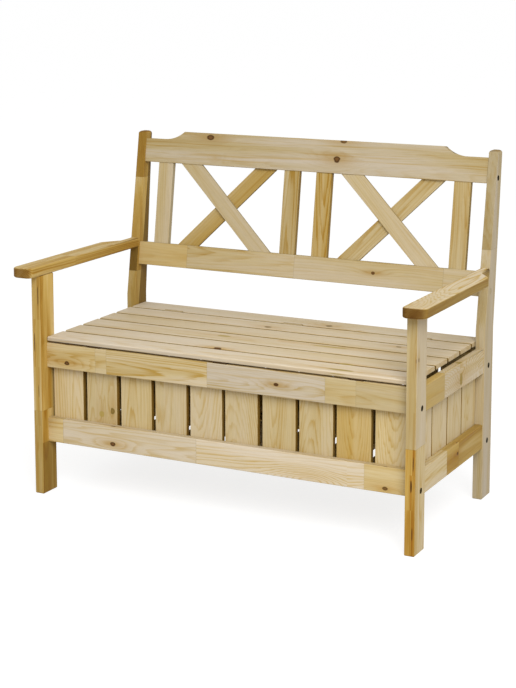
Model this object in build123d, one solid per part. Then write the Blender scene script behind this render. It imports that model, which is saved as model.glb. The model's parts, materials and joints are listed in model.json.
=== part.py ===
from build123d import *
from math import asin, atan2, cos, degrees, hypot, radians, sin, tan
import os

# Driving dimensions in millimetres, angles in degrees.
# Frame
clear_width = 1104.0          # between the inner faces of the left and right legs
frame_depth = 580.0           # front leg's front face to rear leg's rear face
leg_thick = 28.0
leg_depth = 68.0
rail_thick = 22.0
rail_height = 70.0
lower_rail_base = 148.0       # underside of the lower rails above the ground
upper_rail_base = 365.5       # underside of the upper rails above the ground
front_recess = 30.0           # front rails' face behind the front legs' face
rear_recess = 22.0            # rear rails' face inside the rear legs' face
tenon_thick = 10.0            # stub tenons on the side rails
tenon_height = 50.0
tenon_length = 15.0
foot_chamfer = 2.0

# Rear posts above the seat
kink_height = 486.0           # where the post leaves the vertical
post_height = 983.0
post_front_lean = 9.26
post_rear_lean = 5.23
post_round = 9.0

# Armrests
arm_underside = 631.0
arm_thick = 28.0
arm_overhang = 46.0           # ahead of the front leg
arm_spread = 38.0             # outside the leg
arm_kink = 423.0              # from the front leg's face to where the armrest narrows
arm_taper = 52.0              # length of the narrowing
arm_inner_corner = 18.0
arm_outer_corner = 25.0
arm_kink_round = 8.0
arm_edge = 5.0

# Back
back_lean = 8.4
back_recess = 8.0             # middle rail's face behind the post's front edge
mid_rail_height = 613.0       # middle of the middle rail above the ground
top_rail_rise = 281.0         # middle of the middle rail to the top rail, up the lean
top_rail_end = 72.0           # height of the top rail at its ends
crown_rise = 25.0
crown_half = 419.0            # half the length of the raised crown
crown_sweep = 65.0            # length of the concave curve beside the crown
infill_width = 50.0           # width of uprights and braces
upright_thick = 16.0
brace_thick = 9.0
infill_tenon = 12.0           # how far uprights and braces enter the rails
end_upright_gap = 48.0        # from the post to the first upright
mid_upright_gap = 54.0        # between the two middle uprights
brace_gap = 30.0              # from an upright to a brace's corner

# Seat and lid
slat_width = 83.0
slat_thick = 12.5
slat_gap = 9.3
slat_round = 4.5              # top edges
slat_under_round = 3.0
slat_end_gap = 2.2            # between slat ends and legs
lid_slats = 5
pad_thick = 5.5
pad_width = 16.0
pad_length = 40.0
lid_batten_width = 45.0
lid_batten_thick = 20.0
lid_batten_setback = 8.0      # batten ends behind the lid's hinge edge
lid_batten_clear = 8.0        # batten ends behind the front boards
lid_batten_out = 430.0        # side battens from the middle one

# Box boards
board_thick = 16.0
board_width = 98.5
board_drop = 15.0             # board tops below the upper rails' top
board_lift = 2.0              # board ends above the lower rails' underside
front_board_gaps = (12.5, 13.5, 12.0, 12.0, 9.5, 14.5, 10.5, 10.0, 11.5)
rear_board_count = 10
rear_board_gap = 11.8
side_board_count = 4
side_board_gap = 6.0
side_board_end_gap = 1.5
floor_height = 183.0          # top of the floor boards above the ground
floor_board_gap = 44.0
floor_board_count = 7
floor_end_gap = 1.5           # floor boards to the front and rear boards
floor_side_gap = 4.0          # floor battens to the side boards
floor_front_batten = 22.0      # width of the batten under the floor boards' front ends
floor_rear_batten = 78.0
floor_batten_height = 14.0

# Hinges
hinge_out = 400.0             # outer hinges from the middle one
hinge_length = 60.0
hinge_leaf_height = 11.0
hinge_leaf_thick = 1.5
hinge_pin_radius = 2.0
pin_clearance = 0.05
knuckle_gap = 0.4             # between neighbouring knuckles
knuckle_side_gap = 0.65       # between the knuckles and the slats beside them
hinge_sink = 1.0              # hinge axis below the seat's top

# Bolts, barrel nuts, dowels and screws
bolt_up = 17.0                # bolt above the rail's underside
bolt_radius = 3.0
bolt_head_radius = 5.4
bolt_head_thick = 5.0
bolt_socket_radius = 2.6
bolt_socket_depth = 3.0
counterbore_radius = 8.0
counterbore_depth = 10.0
barrel_inset = 30.0           # barrel nut from the rail's end
barrel_radius = 5.0
barrel_length = 16.0
bolt_past_nut = 8.0
dowel_up = 52.0               # dowel above the rail's underside
dowel_radius = 4.0
dowel_in_leg = 16.0
dowel_in_rail = 20.0
screw_radius = 2.0
screw_head_radius = 4.0
screw_head_thick = 2.4
screw_grip = 10.0             # screw length inside a slat

# Clearances
bolt_clearance = 0.3
barrel_clearance = 0.15
dowel_clearance = 0.1
hole_end_gap = 0.5
mortise_clearance = 0.15
screw_clearance = 0.15

# Places worked out from the driving dimensions. Y starts at the front legs' front face.
half_clear = clear_width / 2
half_width = half_clear + leg_thick
leg_middle = half_clear + leg_thick / 2
rear_leg_front = frame_depth - leg_depth
front_rail_back = front_recess + rail_thick
rear_rail_back = frame_depth - rear_recess
rear_rail_front = rear_rail_back - rail_thick
side_rail_outer = leg_middle + rail_thick / 2
side_rail_inner = leg_middle - rail_thick / 2
front_board_back = front_rail_back + board_thick
rear_board_front = rear_rail_front - board_thick
side_board_inner = side_rail_inner - board_thick
upper_rail_top = upper_rail_base + rail_height
seat_base = upper_rail_top + pad_thick
seat_top = seat_base + slat_thick
slat_pitch = slat_width + slat_gap
slat_half = half_clear - slat_end_gap
lid_back = front_recess + lid_slats * slat_pitch - slat_gap
hinge_y = lid_back + slat_gap / 2
hinge_z = seat_top - hinge_sink
knuckle_radius = slat_gap / 2 - knuckle_side_gap
board_base = lower_rail_base + board_lift
board_top = upper_rail_top - board_drop
floor_base = floor_height - board_thick


def block(x_span, y_span, z_span):
    middle = [(low + high) / 2 for low, high in (x_span, y_span, z_span)]
    size = [high - low for low, high in (x_span, y_span, z_span)]
    return Pos(*middle) * Box(*size)


def rod(start, direction, radius, length):
    along = Plane(origin=start, z_dir=direction)
    grow_up = (Align.CENTER, Align.CENTER, Align.MIN)
    return along.location * Cylinder(radius, length, align=grow_up)


def both_sides(right_hand):
    return [right_hand.mirror(Plane.YZ), right_hand]


def post_front(height):
    return rear_leg_front + (height - kink_height) * tan(radians(post_front_lean))


def post_rear(height):
    return frame_depth + (height - kink_height) * tan(radians(post_rear_lean))


# Every rail across the bench is made in its own frame: X along the bench, Y from its front
# face, Z from its underside. The back's rails lean with the back.
back_middle = Pos(0, post_front(mid_rail_height) + back_recess, mid_rail_height) * Rot(X=-back_lean)
front_lower_place = Pos(0, front_recess, lower_rail_base)
front_upper_place = Pos(0, front_recess, upper_rail_base)
rear_lower_place = Pos(0, rear_rail_front, lower_rail_base)
rear_upper_place = Pos(0, rear_rail_front, upper_rail_base)
mid_rail_place = back_middle * Pos(0, 0, -rail_height / 2)
top_rail_place = back_middle * Pos(0, 0, top_rail_rise)

inward = (-1, 0, 0)
outward = (1, 0, 0)
rail_middle = rail_thick / 2
bolt_seat = half_width - counterbore_depth
barrel_x = half_clear - barrel_inset
bolt_end = barrel_x - bolt_past_nut


def leg_cuts():
    counterbore = rod((half_width, rail_middle, bolt_up), inward, counterbore_radius, counterbore_depth)
    shank = rod((half_width, rail_middle, bolt_up), inward, bolt_radius + bolt_clearance, leg_thick)
    dowel = rod((half_clear, rail_middle, dowel_up), outward, dowel_radius + dowel_clearance,
                dowel_in_leg + hole_end_gap)
    return counterbore + shank + dowel


def rail_end_cuts(nut_from_front):
    reach = half_clear - bolt_end + hole_end_gap
    shank = rod((half_clear, rail_middle, bolt_up), inward, bolt_radius + bolt_clearance, reach)
    dowel = rod((half_clear, rail_middle, dowel_up), inward, dowel_radius + dowel_clearance,
                dowel_in_rail + hole_end_gap)
    depth = rail_middle + barrel_length / 2 + hole_end_gap
    face, direction = (0.0, (0, 1, 0)) if nut_from_front else (rail_thick, (0, -1, 0))
    nut = rod((barrel_x, face, bolt_up), direction, barrel_radius + barrel_clearance, depth)
    return both_sides(shank + dowel + nut)


def bolt():
    head = rod((bolt_seat, rail_middle, bolt_up), outward, bolt_head_radius, bolt_head_thick)
    shank = rod((bolt_seat, rail_middle, bolt_up), inward, bolt_radius, bolt_seat - bolt_end)
    socket_face = Plane(origin=(bolt_seat + bolt_head_thick, rail_middle, bolt_up), z_dir=inward)
    socket = extrude(socket_face * RegularPolygon(bolt_socket_radius, 6), bolt_socket_depth)
    return head + shank - socket


def barrel_nut():
    start = (barrel_x, rail_middle - barrel_length / 2, bolt_up)
    body = rod(start, (0, 1, 0), barrel_radius, barrel_length)
    thread = rod((barrel_x + 2 * barrel_radius, rail_middle, bolt_up), inward,
                 bolt_radius + barrel_clearance, 4 * barrel_radius)
    return body - thread


def rail_dowel():
    start = (half_clear - dowel_in_rail, rail_middle, dowel_up)
    return rod(start, outward, dowel_radius, dowel_in_rail + dowel_in_leg)


# Rails
def straight_rail(nut_from_front):
    rail = block((-half_clear, half_clear), (0, rail_thick), (0, rail_height))
    return rail - rail_end_cuts(nut_from_front)


def crowned_rail():
    curve_start = crown_half + crown_sweep
    crown_top = top_rail_end + crown_rise
    curve_radius = (crown_sweep**2 + crown_rise**2) / (2 * crown_rise)
    turn = asin(crown_sweep / curve_radius) / 2
    dip = (curve_start - curve_radius * sin(turn), top_rail_end + curve_radius * (1 - cos(turn)))
    right_half = Polyline((0, 0), (half_clear, 0), (half_clear, top_rail_end), (curve_start, top_rail_end))
    right_half += ThreePointArc((curve_start, top_rail_end), dip, (crown_half, crown_top))
    right_half += Polyline((crown_half, crown_top), (0, crown_top), (0, 0))
    outline = make_face(right_half)
    outline += mirror(outline, about=Plane.YZ)
    rail = extrude(Plane.XZ * outline, -rail_thick)
    return rail - rail_end_cuts(False)


def side_rail(base):
    z_span = (base, base + rail_height)
    rail = block((side_rail_inner, side_rail_outer), (leg_depth, rear_leg_front), z_span)
    return rail + side_tenons(base, 0.0, 0.0)


def side_tenons(base, side_room, end_room):
    x_half = tenon_thick / 2 + side_room
    z_middle = base + rail_height / 2
    z_half = tenon_height / 2 + side_room
    y_span = (leg_depth - tenon_length - end_room, rear_leg_front + tenon_length + end_room)
    x_span = (leg_middle - x_half, leg_middle + x_half)
    return block(x_span, y_span, (z_middle - z_half, z_middle + z_half))


# Back uprights and braces, in the back's own frame: Z from the middle of the middle rail.
infill_low = rail_height / 2
infill_high = top_rail_rise
mid_upright_x = (mid_upright_gap + infill_width) / 2
end_upright_x = half_clear - end_upright_gap - infill_width / 2
upright_layer = (rail_middle - upright_thick / 2, rail_middle + upright_thick / 2)
front_layer = (rail_middle - brace_thick, rail_middle)
rear_layer = (rail_middle, rail_middle + brace_thick)


def infill(low_x, high_x, layer, room):
    run, rise = high_x - low_x, infill_high - infill_low
    slope = atan2(rise, run)
    foot = (infill_width / 2 + room) / sin(slope)
    past = infill_tenon + room
    ends = [(low_x - past * run / rise, infill_low - past), (high_x + past * run / rise, infill_high + past)]
    corners = [(ends[0][0] - foot, ends[0][1]), (ends[0][0] + foot, ends[0][1]),
               (ends[1][0] + foot, ends[1][1]), (ends[1][0] - foot, ends[1][1])]
    face = Plane(origin=(0, layer[0] - room, 0), x_dir=(1, 0, 0), z_dir=(0, -1, 0))
    outline = make_face(Polyline(*corners, close=True))
    return extrude(face * outline, -(layer[1] - layer[0] + 2 * room))


def brace_ends():
    # A brace's outer corner at each rail stands brace_gap from the upright beside it.
    inner_edge = mid_upright_x + infill_width / 2 + brace_gap
    outer_edge = end_upright_x - infill_width / 2 - brace_gap
    span, rise = outer_edge - inner_edge, infill_high - infill_low
    slope = atan2(rise, span) + asin(infill_width / hypot(span, rise))
    foot = infill_width / (2 * sin(slope))
    return inner_edge + foot, outer_edge - foot


brace_inner, brace_outer = brace_ends()
infill_runs = {
    "back_upright_1": (-end_upright_x, -end_upright_x, upright_layer),
    "back_upright_2": (-mid_upright_x, -mid_upright_x, upright_layer),
    "back_upright_3": (mid_upright_x, mid_upright_x, upright_layer),
    "back_upright_4": (end_upright_x, end_upright_x, upright_layer),
    "back_brace_left_front": (-brace_inner, -brace_outer, front_layer),
    "back_brace_left_rear": (-brace_outer, -brace_inner, rear_layer),
    "back_brace_right_front": (brace_outer, brace_inner, front_layer),
    "back_brace_right_rear": (brace_inner, brace_outer, rear_layer),
}


def mortises():
    return [infill(*run, mortise_clearance) for run in infill_runs.values()]


# Legs and armrests, right-hand ones; the left-hand ones are mirrored.
def side_mortises():
    bases = (lower_rail_base, upper_rail_base)
    return [side_tenons(base, mortise_clearance, hole_end_gap) for base in bases]


def arm_dowels(room, end_room):
    length = dowel_in_leg + dowel_in_rail + 2 * end_room
    up_start = (leg_middle, leg_depth / 2, arm_underside - dowel_in_rail - end_room)
    arm_middle = arm_underside + arm_thick / 2
    back_start = (leg_middle, post_front(arm_middle) - dowel_in_rail - end_room, arm_middle)
    upright = rod(up_start, (0, 0, 1), dowel_radius + room, length)
    level = rod(back_start, (0, 1, 0), dowel_radius + room, length)
    return [upright, level]


def eased_foot(leg):
    return chamfer(leg.faces().sort_by(Axis.Z)[0].edges(), foot_chamfer)


def front_leg():
    leg = block((half_clear, half_width), (0, leg_depth), (0, arm_underside))
    leg = eased_foot(leg)
    cuts = [place * leg_cuts() for place in (front_lower_place, front_upper_place)]
    return leg - cuts - side_mortises() - arm_dowels(dowel_clearance, hole_end_gap)


def rear_leg():
    corners = [(rear_leg_front, 0), (frame_depth, 0), (frame_depth, kink_height),
               (post_rear(post_height), post_height), (post_front(post_height), post_height),
               (rear_leg_front, kink_height)]
    side_view = Plane(origin=(half_clear, 0, 0), x_dir=(0, 1, 0), z_dir=(1, 0, 0))
    leg = extrude(side_view * make_face(Polyline(*corners, close=True)), leg_thick)
    leg = fillet(leg.faces().sort_by(Axis.Z)[-1].edges(), post_round)
    leg = eased_foot(leg)
    places = (rear_lower_place, rear_upper_place, mid_rail_place, top_rail_place)
    cuts = [place * leg_cuts() for place in places]
    return leg - cuts - side_mortises() - arm_dowels(dowel_clearance, hole_end_gap)


def armrest():
    arm_top = arm_underside + arm_thick
    past_post = post_front(arm_top) + leg_depth
    arm_outer = half_width + arm_spread
    taper_end = arm_kink + arm_taper
    corners = [(half_clear, -arm_overhang), (arm_outer, -arm_overhang), (arm_outer, arm_kink),
               (half_width, taper_end), (half_width, past_post), (half_clear, past_post)]
    plan = make_face(Polyline(*corners, close=True))
    plan = fillet(plan.vertices().group_by(Axis.Y)[0].sort_by(Axis.X)[0], arm_inner_corner)
    plan = fillet(plan.vertices().group_by(Axis.Y)[0].sort_by(Axis.X)[-1], arm_outer_corner)
    kinks = [v for v in plan.vertices() if arm_kink - 1 < v.Y < taper_end + 1]
    plan = fillet(kinks, arm_kink_round)
    arm = extrude(Pos(0, 0, arm_underside) * plan, arm_thick)
    rims = arm.faces().sort_by(Axis.Z)[0].edges() + arm.faces().sort_by(Axis.Z)[-1].edges()
    arm = fillet([edge for edge in rims if edge.center().Y < past_post - 1], arm_edge)
    beyond = [(post_front(arm_underside), arm_underside), (past_post + 1, arm_underside),
              (past_post + 1, arm_top), (post_front(arm_top), arm_top)]
    side_view = Plane(origin=(half_clear - 1, 0, 0), x_dir=(0, 1, 0), z_dir=(1, 0, 0))
    arm -= extrude(side_view * make_face(Polyline(*beyond, close=True)), leg_thick + arm_spread + 2)
    return arm - arm_dowels(dowel_clearance, hole_end_gap)


# Box
def front_boards():
    total = board_width * (len(front_board_gaps) + 1) + sum(front_board_gaps)
    left = -total / 2
    boards = []
    for gap in (*front_board_gaps, 0.0):
        x_span = (left, left + board_width)
        boards.append(block(x_span, (front_rail_back, front_board_back), (board_base, board_top)))
        left += board_width + gap
    return boards


def rear_boards():
    pitch = board_width + rear_board_gap
    boards = []
    for index in range(rear_board_count):
        middle = (index - (rear_board_count - 1) / 2) * pitch
        x_span = (middle - board_width / 2, middle + board_width / 2)
        boards.append(block(x_span, (rear_board_front, rear_rail_front), (board_base, board_top)))
    return boards


def side_boards():
    start = leg_depth + side_board_end_gap
    room = rear_leg_front - leg_depth - 2 * side_board_end_gap
    width = (room - (side_board_count - 1) * side_board_gap) / side_board_count
    boards = []
    for index in range(side_board_count):
        y_low = start + index * (width + side_board_gap)
        x_span = (side_board_inner, side_rail_inner)
        boards.append(block(x_span, (y_low, y_low + width), (board_base, board_top)))
    return boards


def floor_boards():
    pitch = board_width + floor_board_gap
    y_span = (front_board_back + floor_end_gap, rear_board_front - floor_end_gap)
    z_span = (floor_base, floor_height)
    boards = []
    for index in range(floor_board_count):
        middle = (index - (floor_board_count - 1) / 2) * pitch
        x_span = (middle - board_width / 2, middle + board_width / 2)
        boards.append(block(x_span, y_span, z_span))
    return boards


def floor_batten(y_span):
    half_length = side_board_inner - floor_side_gap
    z_span = (floor_base - floor_batten_height, floor_base)
    return block((-half_length, half_length), y_span, z_span)


# Seat and lid
lid_screw_spots = [
    (x, front_recess + index * slat_pitch + slat_width / 2)
    for x in (-lid_batten_out, 0.0, lid_batten_out)
    for index in range(lid_slats)
]
batten_front = front_board_back + lid_batten_clear
lid_screw_base = seat_base - lid_batten_thick


def screw_point(spot):
    # The first slat's screw stands in the part of that slat that its batten reaches.
    x, y = spot
    return x, max(y, batten_front + lid_batten_width / 4), lid_screw_base


def lid_screw(spot, room, end_room):
    length = lid_batten_thick + screw_grip + end_room
    shank = rod(screw_point(spot), (0, 0, 1), screw_radius + room, length)
    head = rod(screw_point(spot), (0, 0, 1), screw_head_radius + room, screw_head_thick)
    return shank + head


def seat_slat(index):
    y_low = front_recess + index * slat_pitch
    slat = block((-slat_half, slat_half), (y_low, y_low + slat_width), (seat_base, seat_top))
    slat = fillet(slat.edges().filter_by(Axis.X).group_by(Axis.Z)[-1], slat_round)
    return fillet(slat.edges().filter_by(Axis.X).group_by(Axis.Z)[0], slat_under_round)


def lid_slat(index):
    slat = seat_slat(index)
    spots = [spot for number, spot in enumerate(lid_screw_spots) if number % lid_slats == index]
    return slat - [lid_screw(spot, screw_clearance, hole_end_gap) for spot in spots]


def lid_batten(x_middle):
    x_span = (x_middle - lid_batten_width / 2, x_middle + lid_batten_width / 2)
    y_span = (batten_front, lid_back - lid_batten_setback)
    batten = block(x_span, y_span, (lid_screw_base, seat_base))
    spots = [spot for spot in lid_screw_spots if spot[0] == x_middle]
    return batten - [lid_screw(spot, screw_clearance, hole_end_gap) for spot in spots]


def seat_pads():
    front_y = front_recess + rail_thick / 2
    rear_y = rear_rail_front + rail_thick / 2
    size = (pad_length, pad_width, pad_thick)
    pad = Pos(0, 0, upper_rail_top + pad_thick / 2) * Box(*size)
    return [Pos(x, y, 0) * pad for y in (front_y, rear_y) for x in (-hinge_out, 0.0, hinge_out)]


# Hinges, one about X at the middle of the bench; the other two are moved copies.
def hinge_leaf(slat_side, knuckle_spans, other_spans):
    slat_face = hinge_y + slat_side * slat_gap / 2
    y_span = sorted((slat_face, slat_face - slat_side * hinge_leaf_thick))
    half = hinge_length / 2
    leaf = block((-half, half), y_span, (hinge_z - hinge_leaf_height, hinge_z))
    reach = knuckle_radius + knuckle_gap
    for low, high in other_spans:
        x_span = (low - knuckle_gap, high + knuckle_gap)
        leaf -= block(x_span, y_span, (hinge_z - reach, hinge_z + reach))
    for low, high in knuckle_spans:
        leaf += rod((low, hinge_y, hinge_z), outward, knuckle_radius, high - low)
    bore = rod((-half, hinge_y, hinge_z), outward, hinge_pin_radius + pin_clearance, hinge_length)
    return leaf - bore


def hinge():
    half, third = hinge_length / 2, hinge_length / 6
    middle = [(-third, third)]
    ends = [(-half, -third - knuckle_gap), (third + knuckle_gap, half)]
    frame_leaf = hinge_leaf(1, ends, middle)
    lid_leaf = hinge_leaf(-1, middle, ends)
    pin = rod((-half, hinge_y, hinge_z), outward, hinge_pin_radius, hinge_length)
    return frame_leaf, lid_leaf, pin


# Nodes, each a list of solids
def build_nodes():
    nodes = {}

    def add_pair(name, right_hand):
        left_hand, right_hand = both_sides(right_hand)
        nodes[f"{name}_left"] = [left_hand]
        nodes[f"{name}_right"] = [right_hand]

    add_pair("front_leg", front_leg())
    add_pair("rear_leg", rear_leg())
    add_pair("armrest", armrest())
    add_pair("side_lower_rail", side_rail(lower_rail_base))
    add_pair("side_upper_rail", side_rail(upper_rail_base))
    nodes["front_lower_rail"] = [front_lower_place * straight_rail(False)]
    nodes["front_upper_rail"] = [front_upper_place * straight_rail(False)]
    nodes["rear_lower_rail"] = [rear_lower_place * straight_rail(True)]
    nodes["rear_upper_rail"] = [rear_upper_place * straight_rail(True)]
    slots = [back_middle * slot for slot in mortises()]
    nodes["back_mid_rail"] = [mid_rail_place * straight_rail(False) - slots]
    nodes["back_top_rail"] = [top_rail_place * crowned_rail() - slots]
    for name, run in infill_runs.items():
        nodes[name] = [back_middle * infill(*run, 0.0)]

    for number, board in enumerate(front_boards(), start=1):
        nodes[f"front_board_{number}"] = [board]
    nodes["side_boards_left"] = [board.mirror(Plane.YZ) for board in side_boards()]
    nodes["side_boards_right"] = side_boards()
    nodes["rear_boards"] = rear_boards()
    nodes["floor_boards"] = floor_boards()
    nodes["floor_batten_front"] = [floor_batten((front_board_back, front_board_back + floor_front_batten))]
    nodes["floor_batten_rear"] = [floor_batten((rear_board_front - floor_rear_batten, rear_board_front))]

    for index in range(lid_slats):
        nodes[f"seat_slat_{index + 1}"] = [lid_slat(index)]
    nodes["seat_slat_rear"] = [seat_slat(lid_slats)]
    nodes["lid_batten_left"] = [lid_batten(-lid_batten_out)]
    nodes["lid_batten_middle"] = [lid_batten(0.0)]
    nodes["lid_batten_right"] = [lid_batten(lid_batten_out)]
    nodes["lid_screws"] = [lid_screw(spot, 0.0, 0.0) for spot in lid_screw_spots]
    nodes["seat_pads"] = seat_pads()

    frame_leaf, lid_leaf, pin = hinge()
    for name, piece in (("hinge_leaves_frame", frame_leaf), ("hinge_leaves_lid", lid_leaf), ("hinge_pins", pin)):
        nodes[name] = [Pos(x, 0, 0) * piece for x in (-hinge_out, 0.0, hinge_out)]

    rail_places = (front_lower_place, front_upper_place, rear_lower_place, rear_upper_place,
                   mid_rail_place, top_rail_place)
    nodes["frame_bolts"] = [solid for place in rail_places for solid in both_sides(place * bolt())]
    nodes["barrel_nuts"] = [solid for place in rail_places for solid in both_sides(place * barrel_nut())]
    nodes["dowels"] = [solid for place in rail_places for solid in both_sides(place * rail_dowel())]
    nodes["dowels"] += [solid for dowel in arm_dowels(0.0, 0.0) for solid in both_sides(dowel)]
    return nodes


def write_parts(nodes):
    os.makedirs("parts", exist_ok=True)
    whole = Compound([solid for solids in nodes.values() for solid in solids]).bounding_box()
    to_origin = Pos(-(whole.min.X + whole.max.X) / 2, -(whole.min.Y + whole.max.Y) / 2, -whole.min.Z)
    for name, solids in nodes.items():
        placed = [to_origin * solid for solid in solids]
        export_step(placed[0] if len(placed) == 1 else Compound(placed), f"parts/{name}.step")
    size = whole.size
    print(f"{len(nodes)} nodes, {size.X:.1f} x {size.Y:.1f} x {size.Z:.1f} mm")
    shift = to_origin.position
    print(f"origin shift {shift.X:.3f} {shift.Y:.3f} {shift.Z:.3f}")
    print(f"hinge axis at y {hinge_y + shift.Y:.3f} z {hinge_z + shift.Z:.3f}")


write_parts(build_nodes())
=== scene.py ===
import bmesh
import bpy
import json
from itertools import combinations
from math import cos, radians, sin
from mathutils import Matrix, Vector
from random import Random

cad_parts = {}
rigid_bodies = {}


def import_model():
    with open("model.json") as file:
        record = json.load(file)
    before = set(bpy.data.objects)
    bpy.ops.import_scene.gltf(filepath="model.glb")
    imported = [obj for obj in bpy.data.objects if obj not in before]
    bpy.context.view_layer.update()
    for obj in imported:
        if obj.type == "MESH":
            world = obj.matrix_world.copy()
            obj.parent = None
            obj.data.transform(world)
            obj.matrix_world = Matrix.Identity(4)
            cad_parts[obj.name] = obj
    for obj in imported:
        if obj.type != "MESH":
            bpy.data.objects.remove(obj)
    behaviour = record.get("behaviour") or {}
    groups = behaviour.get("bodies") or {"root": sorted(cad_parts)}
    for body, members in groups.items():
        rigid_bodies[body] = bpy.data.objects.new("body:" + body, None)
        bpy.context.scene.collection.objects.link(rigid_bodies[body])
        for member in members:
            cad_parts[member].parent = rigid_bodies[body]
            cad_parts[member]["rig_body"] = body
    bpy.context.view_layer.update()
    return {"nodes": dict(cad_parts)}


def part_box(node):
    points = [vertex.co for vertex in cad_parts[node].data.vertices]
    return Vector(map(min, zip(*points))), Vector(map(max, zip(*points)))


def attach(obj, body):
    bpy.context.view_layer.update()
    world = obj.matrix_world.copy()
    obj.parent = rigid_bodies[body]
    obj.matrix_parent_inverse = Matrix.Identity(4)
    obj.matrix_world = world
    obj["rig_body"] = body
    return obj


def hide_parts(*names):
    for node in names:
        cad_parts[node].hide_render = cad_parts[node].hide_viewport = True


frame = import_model()
scene = bpy.context.scene
print("bench loaded with", len(frame["nodes"]), "nodes")


# Camera at the height of a standing person, to the right of the bench
cameraLook = {
    "place": (2.0945, -4.1411, 1.5335),
    "turn": 26.783,             # degrees to the left
    "dip": 9.105,               # degrees below the horizon
    "lens": 88.33,
    "shift": (-0.0085, -0.1802),
}


def placeCamera(look):
    lens = bpy.data.cameras.new("benchCamera")
    lens.lens = look["lens"]
    lens.shift_x, lens.shift_y = look["shift"]
    camera = bpy.data.objects.new("benchCamera", lens)
    camera.location = look["place"]
    camera.rotation_euler = (radians(90 - look["dip"]), 0, radians(look["turn"]))
    scene.collection.objects.link(camera)
    scene.camera = camera


# Small helpers for node trees
def newMaterial(name):
    material = bpy.data.materials.new(name)
    material.use_nodes = True
    return material, material.node_tree, material.node_tree.nodes["Principled BSDF"]


def setSockets(tree, node, values):
    for socket, value in values.items():
        if isinstance(value, bpy.types.NodeSocket):
            tree.links.new(value, node.inputs[socket])
        else:
            node.inputs[socket].default_value = value


def addNode(tree, kind, values, **settings):
    node = tree.nodes.new("ShaderNode" + kind)
    for name, value in settings.items():
        setattr(node, name, value)
    setSockets(tree, node, values)
    return node


def attribute(tree, name):
    return addNode(tree, "Attribute", {}, attribute_name=name).outputs["Vector"]


def maths(tree, operation, *values):
    return addNode(tree, "Math", dict(enumerate(values)), operation=operation).outputs[0]


def vectors(tree, operation, *values):
    node = addNode(tree, "VectorMath", dict(enumerate(values)), operation=operation)
    return node.outputs["Value" if operation == "LENGTH" else "Vector"]


def split(tree, vector):
    return addNode(tree, "SeparateXYZ", {0: vector}).outputs


noiseMiddle = 0.5               # noise runs from 0 to 1


def noise(tree, vector, detail=2.0, rough=0.5):
    values = {"Vector": vector, "Scale": 1.0, "Detail": detail, "Roughness": rough}
    return addNode(tree, "TexNoise", values)


def ease(tree, value, low, high, start=0.0, end=1.0):
    values = {"Value": value, "From Min": low, "From Max": high, "To Min": start, "To Max": end}
    return addNode(tree, "MapRange", values, interpolation_type="SMOOTHSTEP").outputs[0]


def blend(tree, factor, first, second, how="MIX"):
    values = {0: factor, 6: first, 7: second}
    return addNode(tree, "Mix", values, data_type="RGBA", blend_type=how).outputs[2]


def colour(red, green, blue):
    return (red, green, blue, 1.0)


# Pine. Each block of a piece carries its place in a log, its knot and its tone as attributes.
# A range reads: from, to, then the results at both ends where they aren't 0 and 1.
pineLook = {
    "attributes": ("grain", "ring", "knot", "tone", "mark"),
    "warmth": (                 # colours from sapwood to heartwood
        (0.0, colour(0.65, 0.56, 0.43)),
        (0.62, colour(0.565, 0.448, 0.237)),
        (1.0, colour(0.457, 0.308, 0.088)),
        (1.35, colour(0.335, 0.19, 0.03)),
    ),
    "late": colour(0.78, 0.62, 0.25),       # tint of the late wood in each ring
    "resin": colour(0.82, 0.66, 0.30),      # tint of the resin streaks
    "halo": colour(0.78, 0.60, 0.28),       # tint round a knot
    "knotPale": colour(0.42, 0.31, 0.07),   # faint knots
    "knotHeart": colour(0.15, 0.07, 0.019),
    "knotRim": colour(0.075, 0.032, 0.008),
    "endGrain": colour(0.56, 0.43, 0.25),   # tint of the end grain

    # rings
    "ringWidth": 0.0062,
    "lateRise": (0.42, 0.9),    # range of a ring's width over which its late wood darkens
    "lateFall": (0.9, 1.0, 1.0, 0.0),
    "yearScale": (0.0, 90.0, 90.0),         # how the rings' widths vary
    "yearDrift": 1.4,
    "knotBend": (0.22, 3.0, 3.4),           # rings round a knot: stretch, spread, strength
    "ringFade": (0.30, 0.70, 0.25, 1.0),    # range of the streaks
    "endRings": 1.5,            # how much stronger rings are on end grain

    # patterns along the grain
    "waveScale": (2.2, 13.0, 13.0),
    "waveSize": (0.0, 0.022, 0.022),
    "streakScale": (1.6, 34.0, 34.0),
    "streakWarmth": (0.25, 0.75, -1.0, 1.0),
    "stainScale": (1.8, 9.0, 9.0),
    "stainWarmth": (0.25, 0.75, -0.1, 0.1),
    "resinScale": (2.4, 150.0, 150.0),
    "resinFlow": (0.52, 0.75, 0.0, 2.4),
    "fibreScale": (22.0, 900.0, 900.0),
    "fibreDetail": (3.0, 0.6),  # octaves and roughness
    "fibreShade": (0.2, 0.8, 0.93, 1.07),

    # knots, by the distance in radii or by their darkness
    "knotStretch": 0.7,
    "knotRagged": 0.9,
    "knotEdge": (0.85, 1.25, 1.0, 0.0),
    "knotShows": (0.0, 0.6),
    "heartShows": (0.3, 0.9),
    "rimEdge": (0.35, 0.8),
    "rimShows": (1.0, 1.4),
    "haloReach": (0.25, 2.2),   # stretch and spread
    "haloShows": (0.6, 0.15),   # gain with the darkness, and least

    # surface
    "bump": 0.12,
    "bumpDistance": 0.0006,
    "ringRelief": 0.5,
    "roughness": (0.0, 1.0, 0.68, 0.52),    # from early to late wood
    "shine": 0.14,
}


def grainWave(tree, look, grain):
    wave = noise(tree, vectors(tree, "MULTIPLY", grain, look["waveScale"])).outputs["Color"]
    wave = vectors(tree, "SUBTRACT", wave, (noiseMiddle,) * 3)
    return vectors(tree, "MULTIPLY", wave, look["waveSize"])


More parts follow.
